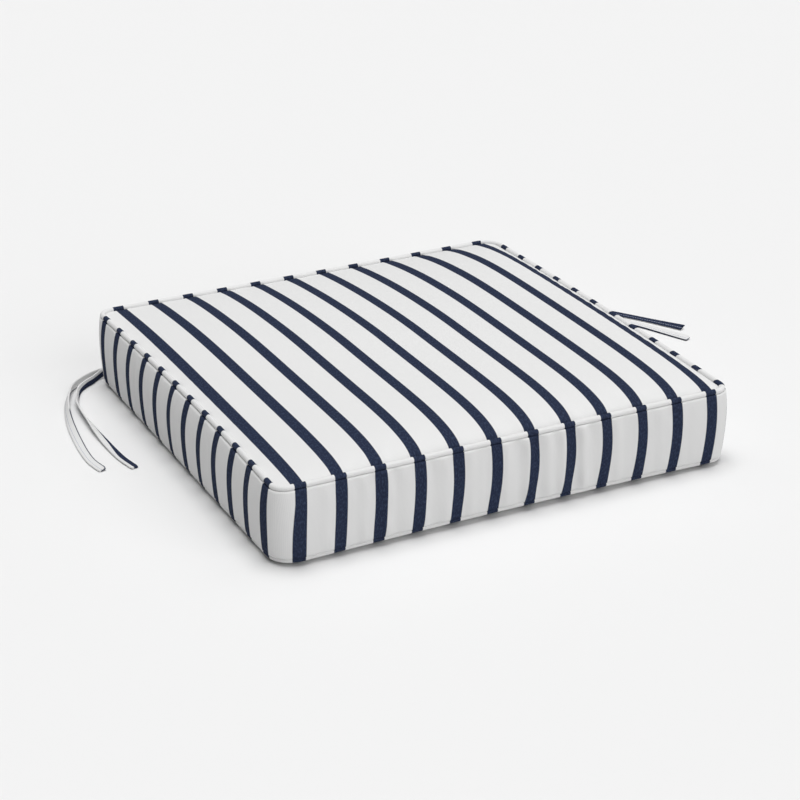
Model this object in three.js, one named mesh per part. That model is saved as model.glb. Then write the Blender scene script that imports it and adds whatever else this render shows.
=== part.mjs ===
import * as THREE from 'three';
import { ParametricGeometry } from 'three/addons/geometries/ParametricGeometry.js';
import { mergeVertices } from 'three/addons/utils/BufferGeometryUtils.js';

// A boxed seat cushion with piped seams and two pairs of ties, lying on its bottom panel.
// Millimetres, +Z up, front edge towards -Y, origin on the floor under the middle of the cushion.

// Plan and seams: the piping's centre lines run round a rounded square at two heights.
const SIZE = 508;
const HALF = SIZE / 2;
const CORNER_SHARE = 0.05;
const SEAM_HEIGHT = { top: 85, bottom: 6.5 };
const PIPING_DIAMETER = 6;
const CLEARANCE = 0.4;

// Top panel: a crown over the whole panel that falls to the middle of the piping.
const CROWN = 18.8;

// Bottom panel: it rolls down from the seam and lies flat inside this distance from it.
const REST_INSET = 14;

// Band: powers that shape its swell. Below 1 the first moves the fullest place up, and the
// second keeps the swell full towards the bottom seam.
const SWELL_SHIFT = 0.8;
const SWELL_FULLNESS = 0.4;

// What each side of the filled cover does between its corners, where all of this fades out:
// draw is how far a seam is pulled in, lift how far it rises, bulge how far the band swells.
// round and ease shape the crown's fall towards that side: more round is fuller at the seam.
const SIDES = {
  front: { drawTop: 0, drawBottom: 1, liftTop: 0, liftBottom: 2.5, bulge: 5, round: 6.7, ease: 0.55 },
  right: { drawTop: 0, drawBottom: 0, liftTop: 2.5, liftBottom: 0, bulge: 6, round: 9.3, ease: 0.8 },
  back: { drawTop: 3, drawBottom: 1, liftTop: 0.5, liftBottom: 0, bulge: 6, round: 1.7, ease: 0.9 },
  left: { drawTop: 4, drawBottom: 1.5, liftTop: 2.5, liftBottom: -1.5, bulge: 9.5, round: 2.2, ease: 0.7 },
};

// The corners, counter-clockwise from the front right, with the bulge and round at each.
const CORNERS = [
  { sign: [1, -1], radiusTop: 13, radiusBottom: 16, bulge: 6.5, round: 7.5 },
  { sign: [1, 1], radiusTop: 24, radiusBottom: 16, bulge: 6.5, round: 6.8 },
  { sign: [-1, 1], radiusTop: 16, radiusBottom: 16, bulge: 5.5, round: 2.3 },
  { sign: [-1, -1], radiusTop: 15, radiusBottom: 25, bulge: 7, round: 3.1 },
];

// The seat that holds the piping, as angles round the piping from straight outwards:
// it starts on the panel and ends under the piping, where the band comes out flush with it.
const SEAT_RADIUS = PIPING_DIAMETER / 2 + CLEARANCE;
const SEAT_START = THREE.MathUtils.degToRad(195);
const SEAT_END = THREE.MathUtils.degToRad(298);

// Mesh steps: round the plan, over the panels (distances in from the seam) and down the band.
const ARC_STEPS = 4;
const SIDE_STEPS = 12;
const COLUMNS = 4 * (ARC_STEPS + SIDE_STEPS);
const SEAT_STEPS = 6;
const PIPING_SIDES = 10;
const TOP_INSETS = [HALF, 195, 145, 105, 76, 54, 38, 26, 18, 12.5, 8.5, 5.5];
const BOTTOM_INSETS = [HALF, 120, REST_INSET, 11.5, 9, 7, 5];
const BAND_SHARES = [0.05, 0.11, 0.2, 0.33, 0.48, 0.63, 0.77, 0.88, 0.95];
const MERGE_DISTANCE = 0.001;

// Ties: a flat stitched strip. A route row is x, y, how high its lower edge is carried, and
// lean, its turn from flat (0) through standing on edge (90) to flat with the other face up.
const TIE_WIDTH = 9.5;
const TIE_THICKNESS = 2;
const TIE_EDGE = 0.8;
const TIE_STEPS = 44;
const FLOOR_GAP = 0.15;
const ROOT_HEIGHT = 9.95;
const TIES = {
  tie_left_outer: {
    turn: 1,
    route: [
      [-235.0, 258.65, ROOT_HEIGHT, 0],
      [-235.6, 262.0, 8.0, 18],
      [-239.4, 266.8, 3.9, 60],
      [-247.4, 268.9, 0.6, 76],
      [-255.5, 268.2, FLOOR_GAP, 84],
      [-267.5, 263.4, FLOOR_GAP, 86],
      [-281.0, 255.0, FLOOR_GAP, 88],
      [-294.5, 243.0, FLOOR_GAP, 98],
      [-304.8, 226.0, FLOOR_GAP, 112],
      [-314.2, 204.5, FLOOR_GAP, 120],
      [-321.4, 180.5, FLOOR_GAP, 128],
      [-327.0, 155.0, FLOOR_GAP, 142],
      [-331.2, 129.0, FLOOR_GAP, 156],
      [-334.2, 103.5, FLOOR_GAP, 166],
      [-336.4, 78.0, FLOOR_GAP, 172],
      [-336.8, 53.0, FLOOR_GAP, 172],
      [-333.0, 28.5, FLOOR_GAP, 168],
    ],
  },
  tie_left_inner: {
    turn: 1,
    route: [
      [-245.9, 256.5, ROOT_HEIGHT, 0],
      [-247.5, 259.4, 7.2, 26],
      [-250.6, 262.4, 3.0, 66],
      [-259.4, 259.4, FLOOR_GAP, 84],
      [-268.4, 251.4, FLOOR_GAP, 82],
      [-278.6, 244.4, FLOOR_GAP, 82],
      [-288.8, 234.2, FLOOR_GAP, 80],
      [-296.2, 220.6, FLOOR_GAP, 76],
      [-303.5, 200.0, FLOOR_GAP, 72],
      [-307.0, 175.0, FLOOR_GAP, 68],
      [-308.0, 149.0, FLOOR_GAP, 56],
      [-308.5, 123.0, FLOOR_GAP, 34],
      [-308.0, 97.0, FLOOR_GAP, 14],
      [-307.2, 71.0, FLOOR_GAP, 6],
      [-305.4, 45.5, FLOOR_GAP, 4],
      [-300.6, 19.0, FLOOR_GAP, 4],
    ],
  },
  tie_right_outer: {
    turn: -1,
    route: [
      [235.0, 258.8, ROOT_HEIGHT, 0],
      [235.6, 262.15, 8.0, 18],
      [239.4, 267.4, 3.9, 60],
      [247.6, 270.2, 0.8, 72],
      [256.5, 270.8, FLOOR_GAP, 70],
      [270.0, 266.5, FLOOR_GAP, 66],
      [288.0, 255.5, FLOOR_GAP, 50],
      [307.5, 238.0, FLOOR_GAP, 34],
      [327.5, 215.0, FLOOR_GAP, 20],
      [347.5, 189.0, FLOOR_GAP, 10],
      [366.0, 162.5, FLOOR_GAP, 5],
      [383.0, 137.5, FLOOR_GAP, 4],
      [398.0, 113.0, FLOOR_GAP, 6],
      [410.0, 91.0, FLOOR_GAP, 14],
      [419.0, 74.0, FLOOR_GAP, 22],
    ],
  },
  tie_right_inner: {
    turn: -1,
    route: [
      [246.0, 256.6, ROOT_HEIGHT, 0],
      [247.6, 259.6, 7.2, 26],
      [251.4, 263.2, 3.4, 58],
      [258.6, 262.8, 0.8, 70],
      [268.0, 258.5, FLOOR_GAP, 70],
      [281.0, 248.5, FLOOR_GAP, 60],
      [298.5, 231.5, FLOOR_GAP, 44],
      [317.0, 209.0, FLOOR_GAP, 28],
      [335.5, 183.0, FLOOR_GAP, 16],
      [353.0, 155.5, FLOOR_GAP, 10],
      [368.5, 128.5, FLOOR_GAP, 8],
      [381.5, 103.0, FLOOR_GAP, 8],
      [392.5, 77.5, FLOOR_GAP, 12],
      [401.5, 56.0, FLOOR_GAP, 16],
      [407.0, 44.0, FLOOR_GAP, 14],
    ],
  },
};

const CLOTH = { color: 0xeceae6, roughness: 0.9, metalness: 0 };
const NAVY = { color: 0x2b3350, roughness: 0.9, metalness: 0 };

const lerp = THREE.MathUtils.lerp;
const between = (v) => 1 - Math.min(1, (v / HALF) ** 2);
const sideAcross = (x) => (x > 0 ? SIDES.right : SIDES.left);
const sideAlong = (y) => (y > 0 ? SIDES.back : SIDES.front);

// A point on a corner's arc, drawn in by inset from the seam line at height up (0 to 1).
function arcPoint(corner, share, inset, up) {
  const { sign: [signX, signY], radiusTop, radiusBottom } = CORNERS[corner % 4];
  const radius = Math.max(lerp(radiusBottom, radiusTop, up) - inset, CORNER_SHARE * (HALF - inset));
  const reach = HALF - inset - radius;
  const angle = (Math.PI / 2) * (corner - 1 + share);
  return [signX * reach + radius * Math.cos(angle), signY * reach + radius * Math.sin(angle)];
}

// A column of the plan: first the steps round a corner, then those along the side after it.
function planPoint(column, inset, up) {
  const corner = Math.floor(column / (ARC_STEPS + SIDE_STEPS)) % 4;
  const step = column % (ARC_STEPS + SIDE_STEPS);
  if (step <= ARC_STEPS) return arcPoint(corner, step / ARC_STEPS, inset, up);
  const start = arcPoint(corner, 1, inset, up);
  const end = arcPoint(corner + 1, 0, inset, up);
  const share = (step - ARC_STEPS) / SIDE_STEPS;
  return [lerp(start[0], end[0], share), lerp(start[1], end[1], share)];
}

// The height of the top seam (up 1) or the bottom one (up 0) at a column.
function seamHeight(column, up) {
  const [x, y] = planPoint(column, 0, up);
  const lift = (side) => (up ? side.liftTop : side.liftBottom);
  const level = up ? SEAM_HEIGHT.top : SEAM_HEIGHT.bottom;
  return level + lift(sideAcross(x)) * between(y) + lift(sideAlong(y)) * between(x);
}

// Pulls a plan point in with its sides. up is 1 at the top seam and 0 at the bottom one.
function drawnIn([x, y], up) {
  const across = lerp(sideAcross(x).drawBottom, sideAcross(x).drawTop, up);
  const along = lerp(sideAlong(y).drawBottom, sideAlong(y).drawTop, up);
  return [x * (1 - (across * between(y)) / HALF), y * (1 - (along * between(x)) / HALF)];
}

// The value that the corners give to a place in the plan, by how near it lies to each.
function cornerBlend(key, [x, y]) {
  return CORNERS.reduce((sum, { sign: [signX, signY], [key]: value }) => (
    sum + (value * (1 + (signX * x) / HALF) * (1 + (signY * y) / HALF)) / 4), 0);
}

function crownHeight([x, y]) {
  const edge = HALF + SEAT_RADIUS * Math.cos(SEAT_START);
  const corner = cornerBlend('round', [x, y]);
  const fall = (side, across, along) => {
    const round = lerp(corner, side.round, between(along));
    return (1 - Math.min(1, Math.abs(across) / edge) ** round) ** side.ease;
  };
  return CROWN * fall(sideAcross(x), x, y) * fall(sideAlong(y), y, x);
}

function topPanelRow(inset) {
  return (column) => {
    const point = planPoint(column, inset, 1);
    const lift = (seamHeight(column, 1) - SEAM_HEIGHT.top) * (1 - inset / HALF) ** 2;
    const z = SEAM_HEIGHT.top + lift + SEAT_RADIUS * Math.sin(SEAT_START) + crownHeight(point);
    return [...drawnIn(point, 1), z];
  };
}

function bottomPanelRow(inset) {
  return (column) => {
    const start = -SEAT_RADIUS * Math.cos(SEAT_START);
    const roll = Math.max(0, (REST_INSET - inset) / (REST_INSET - start)) ** 2;
    const z = (seamHeight(column, 0) - SEAT_RADIUS * Math.sin(SEAT_START)) * roll;
    return [...drawnIn(planPoint(column, inset, 0), 0), z];
  };
}

// The notch that holds the piping: up says which seam, step runs from the panel to the band.
function seatRow(up, step) {
  const angle = lerp(SEAT_START, SEAT_END, step / SEAT_STEPS);
  const rise = SEAT_RADIUS * Math.sin(angle) * (up ? 1 : -1);
  return (column) => {
    const point = planPoint(column, -SEAT_RADIUS * Math.cos(angle), up);
    return [...drawnIn(point, up), seamHeight(column, up) + rise];
  };
}

// How far the band swells at a place in the plan, blended from the corners and sides near it.
function bulgeAt([x, y]) {
  const corner = cornerBlend('bulge', [x, y]);
  return corner
    + (sideAcross(x).bulge - corner) * between(y)
    + (sideAlong(y).bulge - corner) * between(x);
}

// A row of the band. share runs from 0 at the top seam to 1 at the bottom one. At both seams
// the band is flush with the piping.
function bandRow(share) {
  const up = 1 - share;
  const swell = Math.sin(Math.PI * share ** SWELL_SHIFT) ** (1 - SWELL_FULLNESS * share);
  return (column) => {
    const reach = lerp(PIPING_DIAMETER / 2, bulgeAt(planPoint(column, 0, up)), swell);
    const z = lerp(seamHeight(column, 0), seamHeight(column, 1), up);
    return [...drawnIn(planPoint(column, -reach, up), up), z];
  };
}

// A closed skin of rows, from the middle of the bottom panel to the middle of the top one.
function cushionBody() {
  const seatSteps = [...Array(SEAT_STEPS + 1).keys()];
  const rows = [
    ...BOTTOM_INSETS.map(bottomPanelRow),
    ...seatSteps.map((step) => seatRow(0, step)),
    ...BAND_SHARES.toReversed().map(bandRow),
    ...seatSteps.toReversed().map((step) => seatRow(1, step)),
    ...TOP_INSETS.toReversed().map(topPanelRow),
  ];
  const skin = (u, v, target) => {
    const column = Math.round(u * COLUMNS) % COLUMNS;
    target.set(...rows[Math.round(v * (rows.length - 1))](column));
  };
  return new ParametricGeometry(skin, COLUMNS, rows.length - 1);
}

// A torus laid along the seam: its ring angle picks the column, its tube becomes the piping.
function piping(up) {
  const torus = new THREE.TorusGeometry(SIZE, PIPING_DIAMETER / 2, PIPING_SIDES, COLUMNS);
  const position = torus.getAttribute('position');
  for (let i = 0; i < position.count; i++) {
    const turn = Math.atan2(position.getY(i), position.getX(i)) / (2 * Math.PI);
    const column = Math.round((turn + 1) * COLUMNS) % COLUMNS;
    const outward = Math.hypot(position.getX(i), position.getY(i)) - SIZE;
    const [x, y] = drawnIn(planPoint(column, -outward, up), up);
    position.setXYZ(i, x, y, seamHeight(column, up) + position.getZ(i));
  }
  return torus;
}

// A straight strip of unit length, bent along its route and turned by its lean.
function tie({ turn, route }) {
  const halfWidth = TIE_WIDTH / 2;
  const halfThickness = TIE_THICKNESS / 2;
  const leanAt = (share) => {
    const place = share * (route.length - 1);
    const row = Math.min(Math.floor(place), route.length - 2);
    return THREE.MathUtils.degToRad(lerp(route[row][3], route[row + 1][3], place - row));
  };
  const centre = new THREE.CatmullRomCurve3(route.map(([x, y, clear, lean]) => {
    const angle = THREE.MathUtils.degToRad(lean);
    const rise = halfWidth * Math.sin(angle) + halfThickness * Math.abs(Math.cos(angle));
    return new THREE.Vector3(x, y, clear + rise);
  }));
  const section = new THREE.Shape([
    [halfWidth, halfThickness - TIE_EDGE], [halfWidth - TIE_EDGE, halfThickness],
    [-halfWidth + TIE_EDGE, halfThickness], [-halfWidth, halfThickness - TIE_EDGE],
    [-halfWidth, TIE_EDGE - halfThickness], [-halfWidth + TIE_EDGE, -halfThickness],
    [halfWidth - TIE_EDGE, -halfThickness], [halfWidth, TIE_EDGE - halfThickness],
  ].map(([across, thick]) => new THREE.Vector2(across, thick)));
  const strip = new THREE.ExtrudeGeometry(section, { depth: 1, steps: TIE_STEPS, bevelEnabled: false });
  const position = strip.getAttribute('position');
  for (let i = 0; i < position.count; i++) {
    const share = position.getZ(i);
    const along = centre.getTangent(share);
    const up = new THREE.Vector3(0, 0, 1).projectOnPlane(along).normalize();
    const across = new THREE.Vector3().crossVectors(along, up)
      .multiplyScalar(turn * Math.cos(leanAt(share)))
      .addScaledVector(up, Math.sin(leanAt(share)));
    const thick = new THREE.Vector3().crossVectors(along, across);
    const point = centre.getPoint(share)
      .addScaledVector(across, position.getX(i))
      .addScaledVector(thick, position.getY(i));
    position.setXYZ(i, point.x, point.y, point.z);
  }
  return strip;
}

// Keeps only the positions, and merges the points that faces share.
function closed(geometry) {
  geometry.deleteAttribute('normal');
  geometry.deleteAttribute('uv');
  const merged = mergeVertices(geometry, MERGE_DISTANCE);
  merged.computeVertexNormals();
  return merged;
}

function piece(name, geometry, finish) {
  const mesh = new THREE.Mesh(closed(geometry), new THREE.MeshStandardMaterial(finish));
  mesh.name = name;
  return mesh;
}

const chairCushion = new THREE.Group();
chairCushion.add(piece('cushion', cushionBody(), CLOTH));
chairCushion.add(piece('piping_top', piping(1), CLOTH));
chairCushion.add(piece('piping_bottom', piping(0), CLOTH));
for (const [name, shape] of Object.entries(TIES)) {
  chairCushion.add(piece(name, tie(shape), NAVY));
}

export default chairCushion;
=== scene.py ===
import math

import bpy
import numpy as np
from mathutils import Matrix, Vector


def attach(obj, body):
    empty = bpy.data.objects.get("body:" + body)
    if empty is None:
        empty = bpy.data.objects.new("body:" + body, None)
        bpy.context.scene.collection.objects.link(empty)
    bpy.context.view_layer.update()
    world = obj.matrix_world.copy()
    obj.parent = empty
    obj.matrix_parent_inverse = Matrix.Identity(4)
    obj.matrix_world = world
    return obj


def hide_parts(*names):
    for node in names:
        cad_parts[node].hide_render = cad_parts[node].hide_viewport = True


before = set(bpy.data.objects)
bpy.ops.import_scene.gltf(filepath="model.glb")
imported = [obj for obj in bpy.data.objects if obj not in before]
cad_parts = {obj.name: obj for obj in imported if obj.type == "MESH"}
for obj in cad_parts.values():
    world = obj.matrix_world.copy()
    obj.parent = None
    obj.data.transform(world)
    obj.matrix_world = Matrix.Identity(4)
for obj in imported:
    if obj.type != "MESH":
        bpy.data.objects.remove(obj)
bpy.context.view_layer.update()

# Camera: the photograph's view, worked out from the dashes on both pipings. It looks at the
# cushion from the front left and from above, and it is rolled a little. Its place is in metres
# and its angles are in degrees.
PHOTO_SIDE_PX = 800
FOCAL_LENGTH_PX = 2130
SENSOR_MM = 36
CAMERA_PLACE = (-0.9340, -1.9141, 0.9836)
CAMERA_AZIMUTH = -26.04
CAMERA_ELEVATION = 24.25
CAMERA_ROLL = -0.66
camera_data = bpy.data.cameras.new("photo_camera")
camera_data.sensor_width = SENSOR_MM
camera_data.lens = SENSOR_MM * FOCAL_LENGTH_PX / PHOTO_SIDE_PX
camera_data.dof.use_dof = False
camera = bpy.data.objects.new("photo_camera", camera_data)
bpy.context.scene.collection.objects.link(camera)
bpy.context.scene.camera = camera
camera.matrix_world = (
    Matrix.Translation(CAMERA_PLACE)
    @ Matrix.Rotation(math.radians(CAMERA_AZIMUTH), 4, "Z")
    @ Matrix.Rotation(math.radians(90 - CAMERA_ELEVATION), 4, "X")
    @ Matrix.Rotation(math.radians(CAMERA_ROLL), 4, "Z")
)

# Ties: two flat strips at each back corner, folded from the cover's cloth and sewn shut along
# one edge. They are sewn into the bottom seam of the back, come out of it flat, turn on edge
# round the corner and lie on the floor. Sizes are in millimetres until a mesh is made.
MM = 0.001
TIE_WIDTH = 9.5
TIE_THICKNESS = 2.0
TIE_RINGS = 110
FACE_STEPS = 6
EDGE_STEPS = 4
SMOOTH_ANGLE = 50
# A tie starts ROOT_HEIGHT over the floor, just above the bottom piping, and reaches ROOT_IN_SEAM
# further into the seam. Where it lies on the floor, it is FLOOR_GAP off it. The last ring of a
# tie without a notch is narrower by the share END_NARROWING.
ROOT_HEIGHT = 9.95
ROOT_IN_SEAM = 2.5
FLOOR_GAP = 0.15
END_NARROWING = 0.2
# Each route row is x, y, how high the lower edge is carried, and the lean in degrees: 0 lies
# flat, 90 stands on edge, and 180 lies on the other face. Each stripe row is the share of the
# length and the navy stripe's two edges, as millimetres round the strip from the middle of
# its lower edge, positive over the inner face. notch is how deep the end is cut in.
TIES = {
    "tie_left_outer": {
        "turn": 1,
        "route": [
            (-235.0, 258.65, ROOT_HEIGHT, 0), (-235.6, 262.0, 8.0, 18),
            (-239.4, 266.8, 3.9, 60), (-247.4, 268.9, 0.6, 76),
            (-255.5, 268.2, FLOOR_GAP, 84), (-267.5, 263.4, FLOOR_GAP, 86),
            (-281.0, 255.0, FLOOR_GAP, 88), (-294.5, 243.0, FLOOR_GAP, 98),
            (-304.8, 226.0, FLOOR_GAP, 112), (-314.2, 204.5, FLOOR_GAP, 120),
            (-321.4, 180.5, FLOOR_GAP, 128), (-327.0, 155.0, FLOOR_GAP, 142),
            (-331.2, 129.0, FLOOR_GAP, 156), (-334.2, 103.5, FLOOR_GAP, 166),
            (-336.4, 78.0, FLOOR_GAP, 172), (-336.8, 53.0, FLOOR_GAP, 172),
            (-333.0, 28.5, FLOOR_GAP, 168),
        ],
        "stripe": [
            (0, -8.0, 1.5), (0.2, -6.0, 1.0), (0.35, 1.5, 4.0),
            (0.5, 2.5, 11.6), (0.8, 2.5, 12.3), (1, 2.5, 12.6),
        ],
        "notch": 0,
    },
    "tie_left_inner": {
        "turn": 1,
        "route": [
            (-245.9, 256.5, ROOT_HEIGHT, 0), (-247.5, 259.4, 7.2, 26),
            (-250.6, 262.4, 3.0, 66), (-259.4, 259.4, FLOOR_GAP, 84),
            (-268.4, 251.4, FLOOR_GAP, 82), (-278.6, 244.4, FLOOR_GAP, 82),
            (-288.8, 234.2, FLOOR_GAP, 80), (-296.2, 220.6, FLOOR_GAP, 76),
            (-303.5, 200.0, FLOOR_GAP, 72), (-307.0, 175.0, FLOOR_GAP, 68),
            (-308.0, 149.0, FLOOR_GAP, 56), (-308.5, 123.0, FLOOR_GAP, 34),
            (-308.0, 97.0, FLOOR_GAP, 14), (-307.2, 71.0, FLOOR_GAP, 6),
            (-305.4, 45.5, FLOOR_GAP, 4), (-300.6, 19.0, FLOOR_GAP, 4),
        ],
        "stripe": [
            (0, -5.0, 6.6), (0.14, -0.8, 6.6), (0.24, -0.8, 5.0), (0.32, -0.4, 2.0),
            (0.5, -1.0, 1.6), (0.76, -4.0, 4.0), (0.88, -5.0, 6.8), (1, -6.0, 6.8),
        ],
        "notch": 0,
    },
    "tie_right_outer": {
        "turn": -1,
        "route": [
            (235.0, 258.8, ROOT_HEIGHT, 0), (235.6, 262.15, 8.0, 18),
            (239.4, 267.4, 3.9, 60), (247.6, 270.2, 0.8, 72),
            (256.5, 270.8, FLOOR_GAP, 70), (270.0, 266.5, FLOOR_GAP, 66),
            (288.0, 255.5, FLOOR_GAP, 50), (307.5, 238.0, FLOOR_GAP, 34),
            (327.5, 215.0, FLOOR_GAP, 20), (347.5, 189.0, FLOOR_GAP, 10),
            (366.0, 162.5, FLOOR_GAP, 5), (383.0, 137.5, FLOOR_GAP, 4),
            (398.0, 113.0, FLOOR_GAP, 6), (410.0, 91.0, FLOOR_GAP, 14),
            (419.0, 74.0, FLOOR_GAP, 22),
        ],
        "stripe": [(0, -12.0, 0.2), (1, -12.0, 0.2)],
        "notch": 2.5,
    },
    "tie_right_inner": {
        "turn": -1,
        "route": [
            (246.0, 256.6, ROOT_HEIGHT, 0), (247.6, 259.6, 7.2, 26),
            (251.4, 263.2, 3.4, 58), (258.6, 262.8, 0.8, 70),
            (268.0, 258.5, FLOOR_GAP, 70), (281.0, 248.5, FLOOR_GAP, 60),
            (298.5, 231.5, FLOOR_GAP, 44), (317.0, 209.0, FLOOR_GAP, 28),
            (335.5, 183.0, FLOOR_GAP, 16), (353.0, 155.5, FLOOR_GAP, 10),
            (368.5, 128.5, FLOOR_GAP, 8), (381.5, 103.0, FLOOR_GAP, 8),
            (392.5, 77.5, FLOOR_GAP, 12), (401.5, 56.0, FLOOR_GAP, 16),
            (407.0, 44.0, FLOOR_GAP, 14),
        ],
        "stripe": [(0, -2.4, 9.0), (0.6, -1.8, 9.0), (1, -0.8, 9.0)],
        "notch": 0,
    },
}


def linear_colour(hex_colour):
    """An sRGB hex colour as the linear RGBA that a shader takes."""
    parts = [int(hex_colour[i:i + 2], 16) / 255 for i in (1, 3, 5)]
    return [c / 12.92 if c <= 0.04045 else ((c + 0.055) / 1.055) ** 2.4 for c in parts] + [1]


def add_node(tree, kind, settings=(), inputs=()):
    """A node with its settings, and with its inputs given as values or as sockets to link."""
    made = tree.nodes.new(kind)
    for name, value in dict(settings).items():
        setattr(made, name, value)
    for name, value in dict(inputs).items():
        if isinstance(value, bpy.types.NodeSocket):
            tree.links.new(value, made.inputs[name])
        else:
            made.inputs[name].default_value = value
    return made


# Woven acrylic canvas, dyed in the yarn: the eye gets a matt cloth with a fine rib, and flecks
# where lighter fibres show in the navy. The white is painted darker in the rib's hollows, as
# painted shade. The real threads are about 0.4 mm apart, which is less than a pixel, so they are
# drawn at THREAD_PITCH.
WHITE_YARN = "#E7E7E6"
# The next colour is painted shade: the white cloth as it looks in the weave's hollows, not a second
# yarn.
WEAVE_HOLLOW_PAINTED_SHADE = "#E0E0E0"
NAVY_YARN = "#272E42"
FLECK_YARN = "#3A445C"
THREAD_PITCH = 1.3
THREAD_WANDER = 0.6
WEAVE_RELIEF = 0.2
WEAVE_STRENGTH = 0.35
STRIPE_PITCH = 42.0
STRIPE_WIDTH = 12.3
STRIPE_EDGE_BLUR = 0.35
# A fleck's size across and along the stripes, and the noise values between which it fades in.
FLECK_SIZE = (1.4, 3.2)
FLECK_FADE = (0.45, 0.75)
# A tie's line of stitches: its place on the cloth map, its pitch, and half a stitch's size.
STITCH_THREAD = "#A9AFBF"
STITCH_PLACE = -3.8
STITCH_PITCH = 3.2
STITCH_HALF_SIZE = (0.3, 1.1)
# How many waves of Blender's wave texture fit in one unit, at a scale of 1.
WAVES_PER_SCALE = 10 / math.pi


def stitched(tree, cloth, colour):
    """Adds the line of stitches that closes a tie, along STITCH_PLACE of its cloth map."""
    split = add_node(tree, "ShaderNodeSeparateXYZ", (), {0: cloth}).outputs
    offset = add_node(
        tree, "ShaderNodeMath", {"operation": "SUBTRACT"}, {0: split["X"], 1: STITCH_PLACE},
    ).outputs[0]
    aside = add_node(tree, "ShaderNodeMath", {"operation": "ABSOLUTE"}, {0: offset}).outputs[0]
    along = add_node(
        tree, "ShaderNodeMath", {"operation": "PINGPONG"}, {0: split["Y"], 1: STITCH_PITCH / 2},
    ).outputs[0]
    inside = [
        add_node(tree, "ShaderNodeMath", {"operation": "LESS_THAN"}, {0: place, 1: size}).outputs[0]
        for place, size in zip((aside, along), STITCH_HALF_SIZE)
    ]
    stitch = add_node(
        tree, "ShaderNodeMath", {"operation": "MULTIPLY"}, {0: inside[0], 1: inside[1]},
    ).outputs[0]
    return add_node(
        tree, "ShaderNodeMix", {"data_type": "RGBA"},
        {"Factor": stitch, 6: colour, 7: linear_colour(STITCH_THREAD)},
    ).outputs[2]


def canvas_material(name, stripe_layer=None):
    """Canvas on the piece's cloth UV map, in mm across and along the stripes. stripe_layer is
    a vertex layer that says how deep a point lies in the navy, where the map can't say it."""
    material = bpy.data.materials.new(name)
    material.use_nodes = True
    tree = material.node_tree
    shader = tree.nodes["Principled BSDF"]
    cloth = add_node(tree, "ShaderNodeUVMap", {"uv_map": "cloth"}).outputs["UV"]
    if stripe_layer:
        depth = add_node(
            tree, "ShaderNodeAttribute", {"attribute_name": stripe_layer},
        ).outputs["Fac"]
    else:
        across = add_node(tree, "ShaderNodeSeparateXYZ", (), {0: cloth}).outputs["X"]
        folded = add_node(
            tree, "ShaderNodeMath", {"operation": "PINGPONG"}, {0: across, 1: STRIPE_PITCH / 2},
        ).outputs[0]
        depth = add_node(
            tree, "ShaderNodeMath", {"operation": "SUBTRACT"},
            {0: folded, 1: STRIPE_PITCH / 2 - STRIPE_WIDTH / 2},
        ).outputs[0]
    navy = add_node(
        tree, "ShaderNodeMapRange", {"interpolation_type": "SMOOTHSTEP"},
        {"Value": depth, "From Min": -STRIPE_EDGE_BLUR, "From Max": STRIPE_EDGE_BLUR},
    ).outputs["Result"]
    wave_scale = 1 / THREAD_PITCH / WAVES_PER_SCALE
    waves = [
        add_node(
            tree, "ShaderNodeTexWave", {"bands_direction": direction, "wave_profile": "SIN"},
            {"Vector": cloth, "Scale": wave_scale, "Distortion": THREAD_WANDER, "Detail": 1.0},
        ).outputs["Fac"]
        for direction in ("X", "Y")
    ]
    weave = add_node(
        tree, "ShaderNodeMath", {"operation": "MULTIPLY"}, {0: waves[0], 1: waves[1]},
    ).outputs[0]
    fleck_places = add_node(
        tree, "ShaderNodeMapping", {"vector_type": "POINT"},
        {"Vector": cloth, "Scale": (1 / FLECK_SIZE[0], 1 / FLECK_SIZE[1], 1)},
    ).outputs["Vector"]
    flecks = add_node(
        tree, "ShaderNodeTexNoise", (), {"Vector": fleck_places, "Scale": 1.0, "Detail": 2.0},
    ).outputs["Fac"]
    fleck_share = add_node(
        tree, "ShaderNodeMapRange", (),
        {"Value": flecks, "From Min": FLECK_FADE[0], "From Max": FLECK_FADE[1]},
    ).outputs["Result"]
    dark_yarn = add_node(
        tree, "ShaderNodeMix", {"data_type": "RGBA"},
        {"Factor": fleck_share, 6: linear_colour(NAVY_YARN), 7: linear_colour(FLECK_YARN)},
    ).outputs[2]
    # Painted shade: the white goes darker where the weave's relief is low, following the same weave
    # as the bump.
    white_yarn_with_painted_shade = add_node(
        tree, "ShaderNodeMix", {"data_type": "RGBA"},
        {"Factor": weave, 6: linear_colour(WEAVE_HOLLOW_PAINTED_SHADE), 7: linear_colour(WHITE_YARN)},
    ).outputs[2]
    colour = add_node(
        tree, "ShaderNodeMix", {"data_type": "RGBA"}, {"Factor": navy, 6: white_yarn_with_painted_shade, 7: dark_yarn},
    ).outputs[2]
    if stripe_layer:
        colour = stitched(tree, cloth, colour)
    bump = add_node(
        tree, "ShaderNodeBump", (),
        {"Height": weave, "Strength": WEAVE_STRENGTH, "Distance": WEAVE_RELIEF * MM},
    ).outputs["Normal"]
    tree.links.new(colour, shader.inputs["Base Color"])
    tree.links.new(bump, shader.inputs["Normal"])
    shader.inputs["Roughness"].default_value = 0.85
    shader.inputs["Specular IOR Level"].default_value = 0.05
    return material


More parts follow.
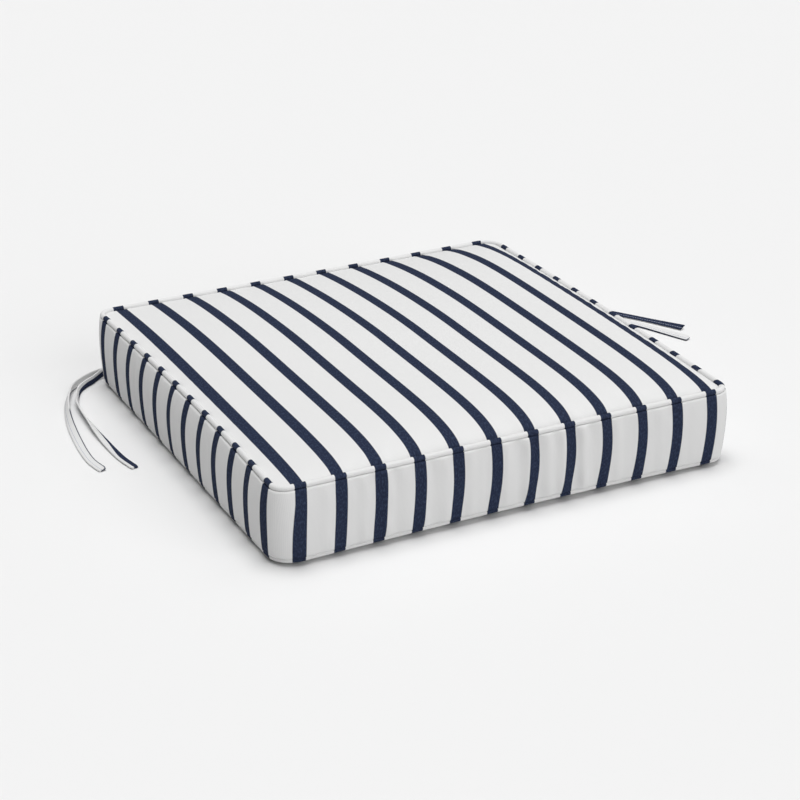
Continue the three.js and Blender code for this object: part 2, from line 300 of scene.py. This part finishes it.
def grid_piece(name, rows, cloth_places, closed_rows=False):
    """A mesh of rows of points in mm that close round in each row, and from the last row to
    the first with closed_rows. cloth_places is the cloth map of each face's four corners."""
    row_count, column_count = rows.shape[:2]
    row_from = np.arange(row_count if closed_rows else row_count - 1)
    row_to = (row_from + 1) % row_count
    column_from = np.arange(column_count)
    column_to = (column_from + 1) % column_count
    corners = np.stack([
        row_from[:, None] * column_count + column_from,
        row_from[:, None] * column_count + column_to,
        row_to[:, None] * column_count + column_to,
        row_to[:, None] * column_count + column_from,
    ], axis=-1)
    mesh = bpy.data.meshes.new(name)
    mesh.from_pydata((rows.reshape(-1, 3) * MM).tolist(), [], corners.reshape(-1, 4).tolist())
    cloth = mesh.uv_layers.new(name="cloth")
    cloth.data.foreach_set("uv", cloth_places.astype(np.float32).ravel())
    piece = bpy.data.objects.new(name, mesh)
    bpy.context.scene.collection.objects.link(piece)
    return piece


def select_only(piece):
    bpy.ops.object.select_all(action="DESELECT")
    bpy.context.view_layer.objects.active = piece
    piece.select_set(True)


def close_ends(piece):
    """Fills the first and the last row of a grid piece and turns all its faces outwards."""
    select_only(piece)
    bpy.ops.object.mode_set(mode="EDIT")
    bpy.ops.mesh.select_all(action="SELECT")
    bpy.ops.mesh.region_to_loop()
    bpy.ops.mesh.fill_holes(sides=0)
    bpy.ops.mesh.select_all(action="SELECT")
    bpy.ops.mesh.normals_make_consistent(inside=False)
    bpy.ops.object.mode_set(mode="OBJECT")


def catmull_rom(points, count):
    """count points along the smooth curve through points, at even steps of its rows. Its knots
    are spaced by the square root of the distance, so that it doesn't loop in short spans."""
    points = np.array(points, float)
    padded = np.vstack([2 * points[0] - points[1], points, 2 * points[-1] - points[-2]])
    made = []
    for share in np.linspace(0, 1, count):
        place = share * (len(points) - 1)
        row = min(int(place), len(points) - 2)
        t = place - row
        p0, p1, p2, p3 = padded[row:row + 4]
        d1, d2, d3 = (
            np.linalg.norm(b[:3] - a[:3]) ** 0.5 for a, b in ((p0, p1), (p1, p2), (p2, p3))
        )
        start = ((p1 - p0) / d1 - (p2 - p0) / (d1 + d2) + (p2 - p1) / d2) * d2
        end = ((p2 - p1) / d2 - (p3 - p1) / (d2 + d3) + (p3 - p2) / d3) * d2
        made.append(
            p1 + start * t + (3 * p2 - 3 * p1 - 2 * start - end) * t ** 2
            + (2 * p1 - 2 * p2 + start + end) * t ** 3
        )
    return np.array(made)


def tie_section():
    """The strip's outline, as (across, thick) points: two flat faces and two round edges."""
    half_width, half_thickness = TIE_WIDTH / 2, TIE_THICKNESS / 2
    straight = half_width - half_thickness
    flat = np.linspace(-straight, straight, FACE_STEPS + 1)
    edge = [
        (half_thickness * math.sin(angle), -half_thickness * math.cos(angle))
        for angle in np.linspace(0, math.pi, EDGE_STEPS + 1)[1:-1]
    ]
    upper = [(straight + out, thick) for out, thick in edge]
    lower = [(-straight - out, thick) for out, thick in edge[::-1]]
    outline = (
        [(x, -half_thickness) for x in flat] + upper
        + [(x, half_thickness) for x in flat[::-1]] + lower
    )
    return np.array(outline)


# round_place is how far round the strip each point of its outline lies, in mm from the middle
# of its lower edge.
section = tie_section()
steps = np.linalg.norm(np.diff(np.vstack([section, section[:1]]), axis=0), axis=1)
perimeter = steps.sum()
round_place = np.concatenate([[0], np.cumsum(steps)[:-1]])
lower_edge = round_place[np.argmin(section[:, 0])]
round_place = (round_place - lower_edge + perimeter / 2) % perimeter - perimeter / 2


def tie_centre(route):
    """The strip's centre line and its lean in radians, ring by ring."""
    carried = []
    for x, y, clear, lean in route:
        angle = math.radians(lean)
        rise = TIE_WIDTH / 2 * math.sin(angle) + TIE_THICKNESS / 2 * abs(math.cos(angle))
        carried.append((x, y, clear + rise, lean))
    bent = catmull_rom(carried, TIE_RINGS)
    centre, lean = bent[:, :3], np.radians(bent[:, 3])
    first_step = centre[0] - centre[1]
    centre[0] += first_step / np.linalg.norm(first_step) * ROOT_IN_SEAM
    return centre, lean


def tie_rings(centre, lean, turn, notch):
    """The strip's outline at each ring. turn is 1 or -1, the way it leans to."""
    along = np.gradient(centre, axis=0)
    along /= np.linalg.norm(along, axis=1)[:, None]
    up = np.array([0, 0, 1]) - along * along[:, 2:]
    up /= np.linalg.norm(up, axis=1)[:, None]
    across = np.cross(along, up) * (turn * np.cos(lean))[:, None] + up * np.sin(lean)[:, None]
    thick = np.cross(along, across)
    rings = (
        centre[:, None]
        + across[:, None] * section[None, :, :1]
        + thick[:, None] * section[None, :, 1:]
    )
    if notch:
        rings[-1] -= along[-1] * notch * (1 - np.abs(section[:, :1]) / (TIE_WIDTH / 2))
    else:
        rings[-1] -= across[-1] * section[:, :1] * END_NARROWING
    return rings


def tie_cloth_map(length):
    """Each face's corners in mm round the strip and along it."""
    round_next = np.roll(round_place, -1)
    past_the_end = round_next < round_place - perimeter / 2
    round_next = np.where(past_the_end, round_next + perimeter, round_next)
    places = np.empty((TIE_RINGS - 1, len(section), 4, 2))
    places[..., 0] = np.stack([round_place, round_next, round_next, round_place], axis=-1)
    places[..., 1] = np.stack([length[:-1], length[:-1], length[1:], length[1:]], axis=-1)[:, None]
    return places


def navy_depth(length, stripe):
    """How deep each point lies in the navy stripe, in mm, or below 0 how far outside it."""
    share, stripe_from, stripe_to = np.array(stripe).T
    stripe_from = np.interp(length / length[-1], share, stripe_from)[:, None]
    stripe_to = np.interp(length / length[-1], share, stripe_to)[:, None]
    places = [round_place + turns * perimeter for turns in (-1, 0, 1)]
    return np.maximum.reduce([
        np.minimum(place - stripe_from, stripe_to - place) for place in places
    ])


tie_cloth = canvas_material("woven_acrylic_canvas_tie", stripe_layer="navy_depth")
for name, shape in TIES.items():
    centre, lean = tie_centre(shape["route"])
    length = np.concatenate([[0], np.cumsum(np.linalg.norm(np.diff(centre, axis=0), axis=1))])
    rings = tie_rings(centre, lean, shape["turn"], shape["notch"])
    tie = grid_piece(name + "_cloth", rings, tie_cloth_map(length))
    depth_layer = tie.data.attributes.new("navy_depth", "FLOAT", "POINT")
    depth_layer.data.foreach_set("value", navy_depth(length, shape["stripe"]).ravel())
    close_ends(tie)
    bpy.ops.object.shade_smooth_by_angle(angle=math.radians(SMOOTH_ANGLE))
    tie.data.materials.append(tie_cloth)
    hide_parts(name)
    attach(tie, "root")

# Cover: two square panels and a boxing band, sewn from woven striped canvas and filled, so the
# top rises to a crown, the band swells between its seams, and the seams are drawn in between
# the corners. It lies on its bottom panel.
HALF = 254.0
SEAM_TOP = 85.0
SEAM_BOTTOM = 6.5
BAND_HEIGHT = SEAM_TOP - SEAM_BOTTOM
CROWN = 18.8
# The bottom panel rolls down from its seam and lies flat from REST_INSET inwards.
REST_INSET = 14.0
# No row's corners are sharper than this share of its half width.
CORNER_SHARE = 0.05
# Powers of the band's swell: the first moves its fullest place up, the second keeps it full
# towards the bottom seam.
SWELL_SHIFT = 0.8
SWELL_FULLNESS = 0.4
# The notch that a piping sits in, as angles round the piping from straight outwards. It is a
# little tighter than the piping, so that no gap shows between them.
PIPING_RADIUS = 3.0
SEAT_RADIUS = 2.8
SEAT_START = math.radians(195)
SEAT_END = math.radians(298)
# Folds beside a seam, as their height and how far from the seam they are highest, and the
# waves that they are made of, as length in mm, direction in the plan in radians, and size.
BAND_PUCKER = (2.8, 12.0)
PANEL_PUCKER = (0.7, 8.0)
PUCKER_WAVES = [(17.0, 0.7, 0.4), (12.5, 0.9, 0.3), (26.0, 0.6, 0.3), (9.0, 0.8, 0.12)]
# How far each side draws its seams in, lifts them, swells the band and gathers its folds, how
# the crown falls towards it, and how far the band's stripes are shifted along it.
RIGHT, BACK, LEFT, FRONT = range(4)
SIDE = {
    "draw_top": (0, 3, 4, 0),
    "draw_bottom": (0, 1, 1.5, 1),
    "lift_top": (2.5, 0.5, 2.5, 0),
    "lift_bottom": (0, 0, -1.5, 2.5),
    "bulge": (6, 6, 9.5, 5),
    "pucker": (1, 0.65, 0.3, 1),
    "round": (9.3, 1.7, 2.2, 6.7),
    "ease": (0.8, 0.9, 0.7, 0.55),
    "stripe_top": (-10.6, 0.1, 5.2, 1.4),
    "stripe_bottom": (-10.6, 0.1, -2.1, -1.5),
}
# The corners, counter-clockwise from the front right one.
CORNER = {
    "sign_x": (1, 1, -1, -1),
    "sign_y": (-1, 1, 1, -1),
    "radius_top": (13, 24, 16, 15),
    "radius_bottom": (16, 16, 16, 25),
    "bulge": (6.5, 6.5, 5.5, 7),
    "round": (7.5, 6.8, 2.3, 3.1),
}
# A row runs counter-clockwise: the arc round a corner, and then the side that follows it.
ARC_STEPS = 14
SIDE_STEPS = 210
COLUMNS = 4 * (ARC_STEPS + SIDE_STEPS)
column = np.arange(COLUMNS)
next_column = (column + 1) % COLUMNS
column_corner = column // (ARC_STEPS + SIDE_STEPS)
column_step = column % (ARC_STEPS + SIDE_STEPS)


def lerp(a, b, share):
    return a + (b - a) * share


def between(v):
    """1 in the middle of a side, falling to 0 at its corners."""
    return 1 - np.minimum(1, (v / HALF) ** 2)


def side_value(key, x, y):
    """Each point's two values for a key: from the right or the left side, whichever is nearer,
    and from the back or the front side."""
    right, back, left, front = SIDE[key]
    return np.where(x > 0, right, left), np.where(y > 0, back, front)


def arc_point(corner, share, inset, up):
    """Plan points at a share of the way round their corners' arcs."""
    sign_x, sign_y, radius_top, radius_bottom = (
        np.array(CORNER[key])[corner % 4]
        for key in ("sign_x", "sign_y", "radius_top", "radius_bottom")
    )
    inset = np.broadcast_to(np.ravel(inset), corner.shape)
    radius = np.maximum(lerp(radius_bottom, radius_top, up) - inset, CORNER_SHARE * (HALF - inset))
    reach = HALF - inset - radius
    angle = math.pi / 2 * (corner - 1 + share)
    x = sign_x * reach + radius * np.cos(angle)
    y = sign_y * reach + radius * np.sin(angle)
    return np.stack([x, y], -1)


def plan_row(inset, up):
    """The plan points of a row, drawn in by inset from the seam line at height up, 0 to 1."""
    arc = arc_point(column_corner, np.minimum(column_step / ARC_STEPS, 1), inset, up)
    end = arc_point(column_corner + 1, 0, inset, up)
    share = np.maximum((column_step - ARC_STEPS) / SIDE_STEPS, 0)[:, None]
    return lerp(arc, end, share)


def seam_height(up):
    """How high each column of the bottom seam (up 0) or the top seam (up 1) lies."""
    x, y = plan_row(0, up).T
    across, along = side_value("lift_top" if up else "lift_bottom", x, y)
    return (SEAM_TOP if up else SEAM_BOTTOM) + across * between(y) + along * between(x)


def drawn_in(points, up):
    """Plan points moved inwards as the seams are, most in the middle of each side."""
    x, y = points.T
    across_top, along_top = side_value("draw_top", x, y)
    across_bottom, along_bottom = side_value("draw_bottom", x, y)
    across, along = lerp(across_bottom, across_top, up), lerp(along_bottom, along_top, up)
    return np.stack([x * (1 - across * between(y) / HALF), y * (1 - along * between(x) / HALF)], -1)


def corner_blend(key, x, y):
    """The value that the corners give to points in the plan, by how near they lie to each."""
    return sum(
        value * (1 + sign_x * x / HALF) * (1 + sign_y * y / HALF) / 4
        for sign_x, sign_y, value in zip(CORNER["sign_x"], CORNER["sign_y"], CORNER[key])
    )


def crown_height(points):
    """How far the filling lifts the top panel. It falls towards each side by a power, which
    is the side's own in its middle and the corners' at its ends."""
    edge = HALF + SEAT_RADIUS * math.cos(SEAT_START)
    x, y = points.T
    corner = corner_blend("round", x, y)
    sides = zip(side_value("round", x, y), side_value("ease", x, y), (x, y), (y, x))
    fall = 1
    for side_round, ease, across, along in sides:
        power = lerp(corner, side_round, between(along))
        fall = fall * (1 - np.minimum(1, np.abs(across) / edge) ** power) ** ease
    return CROWN * fall


def bulge_at(points):
    """How far the band swells out where it is fullest."""
    x, y = points.T
    corner = corner_blend("bulge", x, y)
    across, along = side_value("bulge", x, y)
    return corner + (across - corner) * between(y) + (along - corner) * between(x)


def pucker(up):
    """How far each column's cloth is gathered up beside a seam, from about -1 to 1: waves
    whose lengths don't fit together, so that no two folds are alike."""
    x, y = plan_row(0, up).T
    across, along = side_value("pucker", x, y)
    return (across * between(y) + along * between(x)) * sum(
        size * np.sin(2 * math.pi * (x * math.cos(turn) + y * math.sin(turn)) / length + turn + up)
        for length, turn, size in PUCKER_WAVES
    )


def fold_height(distance, fold):
    """Folds start at a seam, are highest a little way from it, and fade out."""
    height, reach = fold
    return height * distance / reach * math.exp(1 - distance / reach)


def top_row(inset):
    """A row of the top panel."""
    points = plan_row(inset, 1)
    lift = (seam_height(1) - SEAM_TOP) * (1 - inset / HALF) ** 2
    height = SEAM_TOP + lift + SEAT_RADIUS * math.sin(SEAT_START) + crown_height(points)
    height += pucker(1) * fold_height(inset, PANEL_PUCKER)
    return np.column_stack([drawn_in(points, 1), height])


def bottom_row(inset):
    """A row of the bottom panel."""
    start = -SEAT_RADIUS * math.cos(SEAT_START)
    roll = max(0, (REST_INSET - inset) / (REST_INSET - start)) ** 2
    height = (seam_height(0) - SEAT_RADIUS * math.sin(SEAT_START)) * roll
    return np.column_stack([drawn_in(plan_row(inset, 0), 0), height])


def seat_row(up, share):
    """A row of the notch that the piping sits in. share runs from the panel to the band."""
    angle = lerp(SEAT_START, SEAT_END, share)
    rise = SEAT_RADIUS * math.sin(angle) * (1 if up else -1)
    points = plan_row(-SEAT_RADIUS * math.cos(angle), up)
    return np.column_stack([drawn_in(points, up), seam_height(up) + rise])


def band_row(share):
    """A row of the band, which is flush with the piping at both seams and swells between."""
    up = 1 - share
    swell = math.sin(math.pi * share ** SWELL_SHIFT) ** (1 - SWELL_FULLNESS * share)
    reach = lerp(PIPING_RADIUS, bulge_at(plan_row(0, up)), swell)
    reach = reach + pucker(1) * fold_height(share * BAND_HEIGHT, BAND_PUCKER)
    reach = reach + pucker(0) * fold_height(up * BAND_HEIGHT, BAND_PUCKER)
    height = lerp(seam_height(0), seam_height(1), up)
    return np.column_stack([drawn_in(plan_row(-reach[:, None], up), up), height])


# The rows run from the middle of the bottom panel over the band to the middle of the top. A
# panel's rows lie closer together towards its seam, by the power ROW_CROWDING, and leave a
# small square of PANEL_MIDDLE each way, which one face fills. ups says how far up the band a
# row lies, from 0 to 1, or None on a panel.
BOTTOM_ROWS = 10
SEAT_ROWS = 6
BAND_ROWS = 32
TOP_ROWS = 36
PANEL_MIDDLE = 2
ROW_CROWDING = 1.6
panel_start = -SEAT_RADIUS * math.cos(SEAT_START)
panel_reach = HALF - PANEL_MIDDLE - panel_start
bottom_insets = panel_start + panel_reach * np.linspace(1, 0, BOTTOM_ROWS) ** ROW_CROWDING
top_insets = panel_start + panel_reach * np.linspace(0, 1, TOP_ROWS) ** ROW_CROWDING
seat_shares = np.linspace(0, 1, SEAT_ROWS + 2)[1:]
band_shares = np.linspace(1, 0, BAND_ROWS + 2)[1:-1]
rows, ups = [], []
for inset in bottom_insets:
    rows.append(bottom_row(inset))
    ups.append(None)
for share in seat_shares:
    rows.append(seat_row(0, share))
    ups.append(0)
for share in band_shares:
    rows.append(band_row(share))
    ups.append(1 - share)
for share in seat_shares[::-1]:
    rows.append(seat_row(1, share))
    ups.append(1)
for inset in top_insets:
    rows.append(top_row(inset))
    ups.append(None)
rows = np.array(rows)

# The stripes: how far those of the panels are shifted to the right at the front and the back
# edge, how far those of the band fan out in the middle of its height, and how far those of the
# front bow there. A corner's first half has the stripes of the side before it.
PANEL_SHIFT_FRONT = 0.5
PANEL_SHIFT_BACK = 3.0
BAND_FAN = 1.5
BAND_BOW = 2.4
face_side = np.where(column_step < ARC_STEPS / 2, (column_corner + 3) % 4, column_corner)


def along_side(side, points):
    """How far points lie along a side from its middle, counter-clockwise round the plan."""
    x, y = points[..., 0], points[..., 1]
    return {RIGHT: y, BACK: -x, LEFT: -y, FRONT: x}[side]


def band_stripes(up, fan=0.0):
    """Where each face's two columns lie across the stripes of its own side, in mm. fan is how
    far the stripes at the ends of a side are pushed outwards."""
    plan = plan_row(0, up)
    places = np.empty((COLUMNS, 2))
    for side in range(4):
        on = face_side == side
        shift = lerp(SIDE["stripe_bottom"][side], SIDE["stripe_top"][side], up)
        for end, columns in enumerate((column, next_column)):
            along = along_side(side, plan[columns][on])
            places[on, end] = along / (1 + fan / HALF) - shift
    return places


def bent_stripes(row):
    """band_stripes for a row of the band, with their fan and the front's bow."""
    middle = math.sin(math.pi * ups[row])
    bow = BAND_BOW * middle * between(rows[row][:, 0])
    return band_stripes(ups[row], BAND_FAN * middle) - (bow * (face_side == FRONT))[:, None]


def panel_stripes(points):
    """Where points of a panel lie across its stripes, in mm."""
    shift = lerp(PANEL_SHIFT_FRONT, PANEL_SHIFT_BACK, (points[:, 1] + HALF) / (2 * HALF))
    return points[:, 0] - shift


def cover_cloth_map():
    """Each face's corners in mm across and along the stripes, panels and band apart."""
    places = np.empty((len(rows) - 1, COLUMNS, 4, 2))
    for row in range(len(rows) - 1):
        on_band = ups[row] is not None and ups[row + 1] is not None
        for edge, corners in ((row, (0, 1)), (row + 1, (3, 2))):
            for end, columns in enumerate((column, next_column)):
                points = rows[edge][columns]
                if on_band:
                    place = bent_stripes(edge)[:, end], points[:, 2]
                else:
                    place = panel_stripes(points), points[:, 1]
                places[row, :, corners[end]] = np.column_stack(place)
    return places


cover = grid_piece("cushion_cover", rows, cover_cloth_map())
close_ends(cover)
bpy.ops.object.shade_smooth()
cover.data.materials.append(canvas_material("woven_acrylic_canvas_cover"))
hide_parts("cushion")
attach(cover, "root")

# Piping: a cord in a strip of the same canvas, cut across its stripes, so each stripe shows
# as a dash. One runs round each seam, between panel and band.
PIPING_SIDES = 14
piping_cloth = canvas_material("woven_acrylic_canvas_piping")
round_angles = np.arange(PIPING_SIDES) / PIPING_SIDES * 2 * math.pi
side_width = 2 * math.pi * PIPING_RADIUS / PIPING_SIDES
for name, up in (("piping_top", 1), ("piping_bottom", 0)):
    rings = np.array([
        np.column_stack([
            drawn_in(plan_row(-PIPING_RADIUS * math.cos(angle), up), up),
            seam_height(up) + PIPING_RADIUS * math.sin(angle),
        ])
        for angle in round_angles
    ])
    cloth = np.empty((PIPING_SIDES, COLUMNS, 4, 2))
    cloth[..., 0] = band_stripes(up)[:, (0, 1, 1, 0)]
    for corner, step in enumerate((0, 0, 1, 1)):
        cloth[:, :, corner, 1] = (round_angles * PIPING_RADIUS)[:, None] + step * side_width
    piping = grid_piece(name + "_cord", rings, cloth, closed_rows=True)
    select_only(piping)
    bpy.ops.object.shade_smooth()
    piping.data.materials.append(piping_cloth)
    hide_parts(name)
    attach(piping, "root")

# Floor and light: a plain pale floor under a wide soft light overhead. Softer lights from the
# right, from behind and, lower down, from the front right brighten those sides, so the left
# side and the floor beside it are in shade. The air gives a soft fill and is seen as pale.
FLOOR_SIZE = 60
FLOOR_PAINT = "#ECECEC"
AIR_LIGHT = "#6E6E6E"
AIR_SEEN = "#F5F5F5"
# Each light's name, the way it comes from (degrees from +X towards +Y, degrees above the
# floor), its power and how wide it looks in degrees.
LIGHTS = [
    ("overhead_softbox", 0, 90, 1.86, 38),
    ("right_softbox", 5, 60, 0.38, 50),
    ("back_softbox", 110, 62, 0.29, 50),
    ("front_softbox", 290, 27, 0.98, 46),
]
bpy.ops.object.select_all(action="DESELECT")
bpy.ops.mesh.primitive_plane_add(size=FLOOR_SIZE, location=(0, 0, 0))
floor = bpy.context.object
floor.name = "floor"
floor_material = bpy.data.materials.new("matt_pale_paint")
floor_material.use_nodes = True
paint = floor_material.node_tree.nodes["Principled BSDF"]
paint.inputs["Base Color"].default_value = linear_colour(FLOOR_PAINT)
paint.inputs["Roughness"].default_value = 1.0
paint.inputs["Specular IOR Level"].default_value = 0.0
floor.data.materials.append(floor_material)

bpy.context.scene.view_settings.view_transform = "Standard"
world = bpy.data.worlds.new("pale_studio")
bpy.context.scene.world = world
world.use_nodes = True
air = world.node_tree
seen = add_node(air, "ShaderNodeLightPath").outputs["Is Camera Ray"]
air_colour = add_node(
    air, "ShaderNodeMix", {"data_type": "RGBA"},
    {"Factor": seen, 6: linear_colour(AIR_LIGHT), 7: linear_colour(AIR_SEEN)},
).outputs[2]
air.links.new(air_colour, air.nodes["Background"].inputs["Color"])
for name, azimuth, elevation, power, width in LIGHTS:
    lamp_data = bpy.data.lights.new(name, "SUN")
    lamp_data.energy = power
    lamp_data.angle = math.radians(width)
    lamp = bpy.data.objects.new(name, lamp_data)
    bpy.context.scene.collection.objects.link(lamp)
    level, turn = math.radians(elevation), math.radians(azimuth)
    comes_from = Vector((
        math.cos(turn) * math.cos(level), math.sin(turn) * math.cos(level), math.sin(level),
    ))
    lamp.rotation_euler = comes_from.to_track_quat("Z", "Y").to_euler()
